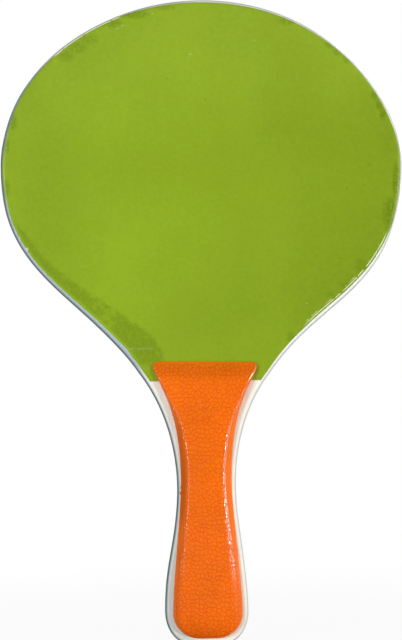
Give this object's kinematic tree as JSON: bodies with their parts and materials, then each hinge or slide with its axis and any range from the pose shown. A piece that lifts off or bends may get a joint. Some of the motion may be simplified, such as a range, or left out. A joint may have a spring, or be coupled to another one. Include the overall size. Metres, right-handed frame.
{
  "type": "frescobol racket",
  "caption": "Beach racket with a round plywood blade under green film, and a moulded leather-grain grip screwed together through the handle.",
  "frame": {"origin": "middle of the hand grip: on the board's middle plane, where the middle screw crosses it", "axes": "+Z runs along the racket from the hand to the crown of the blade, -Y is the front face, X is the width"},
  "size_m": [0.241, 0.0244, 0.3895],
  "materials": {
    "painted_wood": "white lacquer over plywood, faint lengthwise grain, slightly worn along the edge",
    "plywood": "plywood, painted white on its outer edge",
    "green_film": "semi-gloss printed film, lightly scuffed",
    "orange_grip": "moulded plastic with a fine leather grain, satin",
    "screw_steel": "zinc-plated, satin"
  },
  "bodies": {
    "root": {"face_ply_front": "painted_wood", "crossband_front": "plywood", "core_ply": "plywood", "crossband_back": "plywood", "face_ply_back": "painted_wood", "print_film_front": "green_film", "print_film_back": "green_film", "grip_shell_front": "orange_grip", "grip_shell_back": "orange_grip", "grip_screw_top": "screw_steel", "grip_screw_middle": "screw_steel", "grip_screw_bottom": "screw_steel"}
  },
  "joints": []
}
